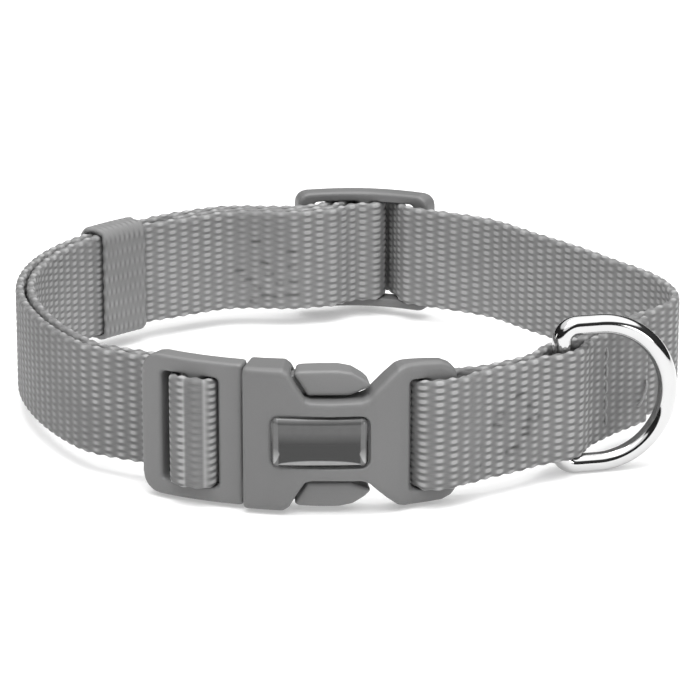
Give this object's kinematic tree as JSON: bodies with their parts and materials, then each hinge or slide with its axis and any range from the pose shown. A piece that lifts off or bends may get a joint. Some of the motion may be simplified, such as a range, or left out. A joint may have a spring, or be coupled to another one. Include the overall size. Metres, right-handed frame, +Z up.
{
  "type": "dog collar",
  "caption": "Dog collar of doubled nylon webbing closed by a moulded side-release buckle, with a length slider, a webbing keeper and a swinging metal lead ring.",
  "frame": {"origin": "on the floor under the middle of the collar's box, which stands on its lower edge", "axes": "+Z up through the neck opening, -Y towards the buckle, +X towards the side with the lead ring"},
  "size_m": [0.0958, 0.0982, 0.0228],
  "materials": {
    "webbing": "woven nylon webbing",
    "buckle_plastic": "satin moulded plastic",
    "slider_plastic": "satin moulded plastic",
    "badge_plastic": "glossy domed resin",
    "ring_metal": "polished chrome"
  },
  "bodies": {
    "collar": {"strap": "webbing", "keeper_loop": "webbing", "buckle_socket": "buckle_plastic", "buckle_prong": "buckle_plastic", "slider": "slider_plastic", "badge": "badge_plastic"},
    "ring": {"d_ring": "ring_metal"}
  },
  "joints": [
    {"name": "ring_swing", "type": "hinge", "parent": "collar", "child": "ring", "pos_m": [0.02964, -0.03079, 0.0114], "axis": [0, 0, 1], "range_deg": [-128, 20]}
  ]
}
